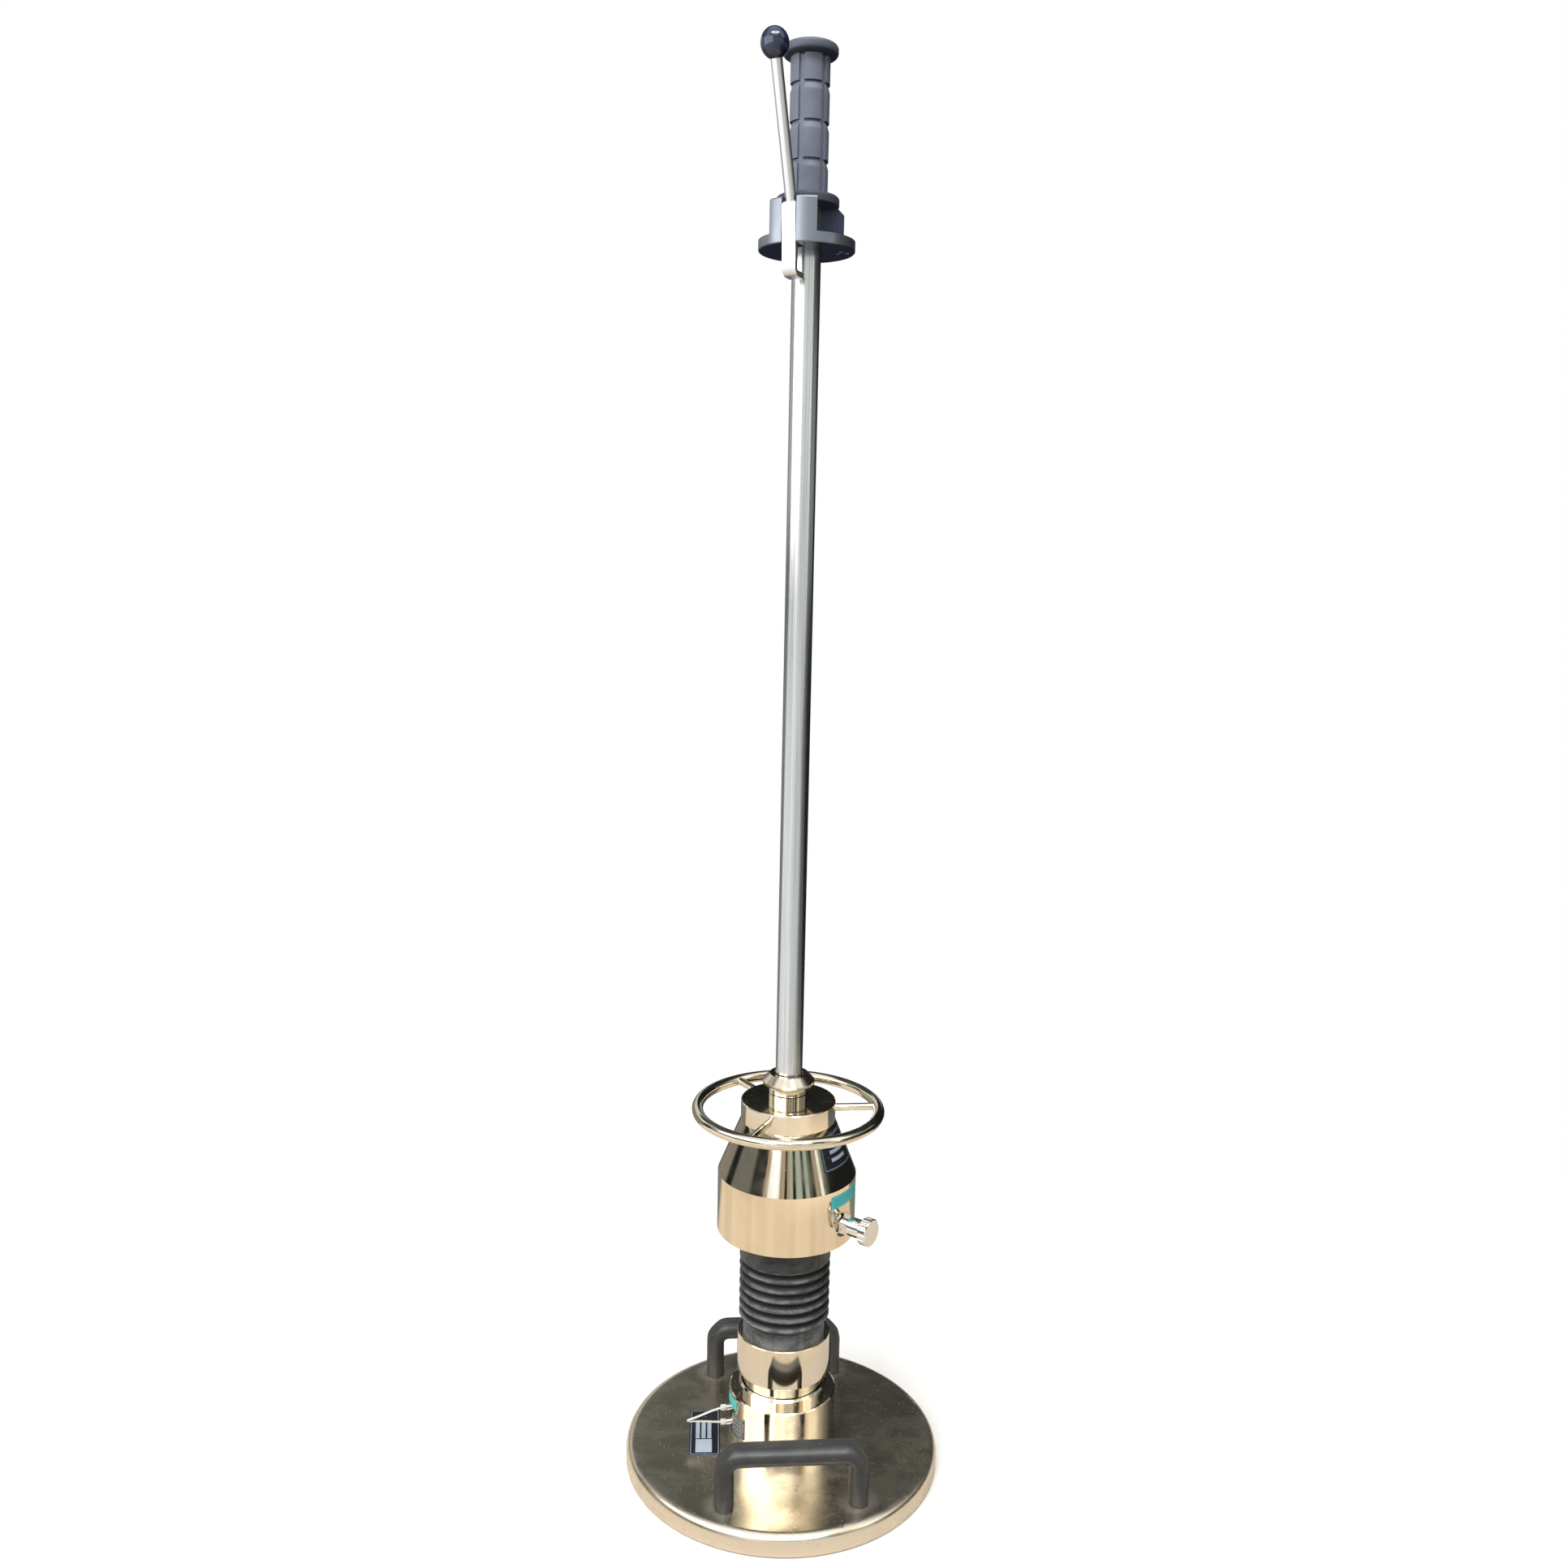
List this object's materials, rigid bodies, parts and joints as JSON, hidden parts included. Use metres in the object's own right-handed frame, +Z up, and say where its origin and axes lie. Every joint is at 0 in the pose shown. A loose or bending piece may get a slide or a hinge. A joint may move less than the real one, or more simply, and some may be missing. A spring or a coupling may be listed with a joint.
{
  "type": "lightweight deflectometer",
  "caption": "Portable soil plate tester: round load plate with bridge handles, sprung base in a ribbed boot, guide rod, sliding drop weight with carrying ring, and release lever below the grip.",
  "frame": {"origin": "centre of the load plate's underside, on the ground", "axes": "+Z up along the guide rod, +X along the bridge handles, -Y towards the front handle"},
  "size_m": [0.3, 0.3, 1.2843],
  "materials": {
    "plated_steel": "polished warm plating",
    "ground_steel": "ground and hard-chromed",
    "hard_steel": "hardened and ground",
    "spring_steel": "phosphated",
    "screw_steel": "zinc plated",
    "bearing_bronze": "turned",
    "handle_coat": "matte black coat",
    "dark_aluminium": "dark anodised",
    "boot_rubber": "matte, dusty",
    "grip_rubber": "matte",
    "knob_plastic": "gloss",
    "socket_metal": "nickel plated",
    "insert_plastic": "matte",
    "lead_rubber": "matte",
    "tie_nylon": "satin",
    "teal_label": "printed film",
    "black_label": "printed film",
    "silver_label": "printed foil"
  },
  "bodies": {
    "plate": {"load_plate": "plated_steel", "sensor_housing": "plated_steel", "front_handle": "handle_coat", "rear_handle": "handle_coat", "handle_screws": "screw_steel", "housing_screws": "screw_steel", "ball_seat": "hard_steel", "accelerometer": "hard_steel", "sensor_lead": "lead_rubber", "signal_socket": "socket_metal", "socket_insert": "insert_plastic", "socket_screws": "screw_steel", "seal_screws": "screw_steel", "seal_tie": "tie_nylon", "plate_label": "silver_label", "hub_strip": "teal_label", "hub_nameplate": "silver_label"},
    "ball": {"centring_ball": "hard_steel"},
    "device": {"spring_base": "plated_steel", "base_seat": "hard_steel", "boss_screws": "screw_steel", "guide_rod": "ground_steel", "disc_springs": "spring_steel", "boot": "boot_rubber", "lock_collar": "hard_steel", "lock_collar_screw": "screw_steel", "release_head": "dark_aluminium", "head_screws": "screw_steel", "lever_pivot": "hard_steel", "lever_stops": "hard_steel", "return_springs": "spring_steel", "grip": "grip_rubber"},
    "anvil": {"anvil": "hard_steel", "anvil_bush": "bearing_bronze"},
    "bushes": {"lower_bush": "bearing_bronze", "upper_bush": "bearing_bronze"},
    "weight": {"drop_weight": "plated_steel", "catch_sleeve": "plated_steel", "carrying_ring": "plated_steel", "ring_spokes": "plated_steel", "plunger_bush": "plated_steel", "weight_strip": "teal_label", "cone_label": "black_label"},
    "plunger": {"plunger_pin": "ground_steel", "plunger_knob": "ground_steel"},
    "lever": {"catch_lever": "ground_steel", "lever_rod": "ground_steel", "ball_knob": "knob_plastic"}
  },
  "joints": [
    {"name": "device_swivel", "type": "hinge", "parent": "plate", "child": "ball", "pos_m": [0, 0, 0.07275], "axis": [0, 0, 1], "continuous": true},
    {"name": "device_lift", "type": "slide", "parent": "ball", "child": "device", "axis": [0, 0, 1], "range_m": [0, 0.06]},
    {"name": "spring_compression", "type": "slide", "parent": "device", "child": "anvil", "axis": [0, 0, 1], "range_m": [-0.02, 0], "stiffness_N_per_m": 362000, "deforming": ["disc_springs", "boot"]},
    {"name": "weight_drop", "type": "slide", "parent": "device", "child": "bushes", "axis": [0, 0, 1], "range_m": [0, 0.72]},
    {"name": "weight_swivel", "type": "hinge", "parent": "bushes", "child": "weight", "pos_m": [0, 0, 0.3], "axis": [0, 0, 1], "continuous": true},
    {"name": "lock_pull", "type": "slide", "parent": "weight", "child": "plunger", "axis": [0.7826, -0.6225, 0], "range_m": [-0.006, 0]},
    {"name": "lever_release", "type": "hinge", "parent": "device", "child": "lever", "pos_m": [-0.01137, -0.02394, 1.1438], "axis": [-0.9033, 0.4289, 0], "range_deg": [0, 12], "stiffness_Nm_per_rad": 0.5, "springref_deg": -17.19}
  ]
}
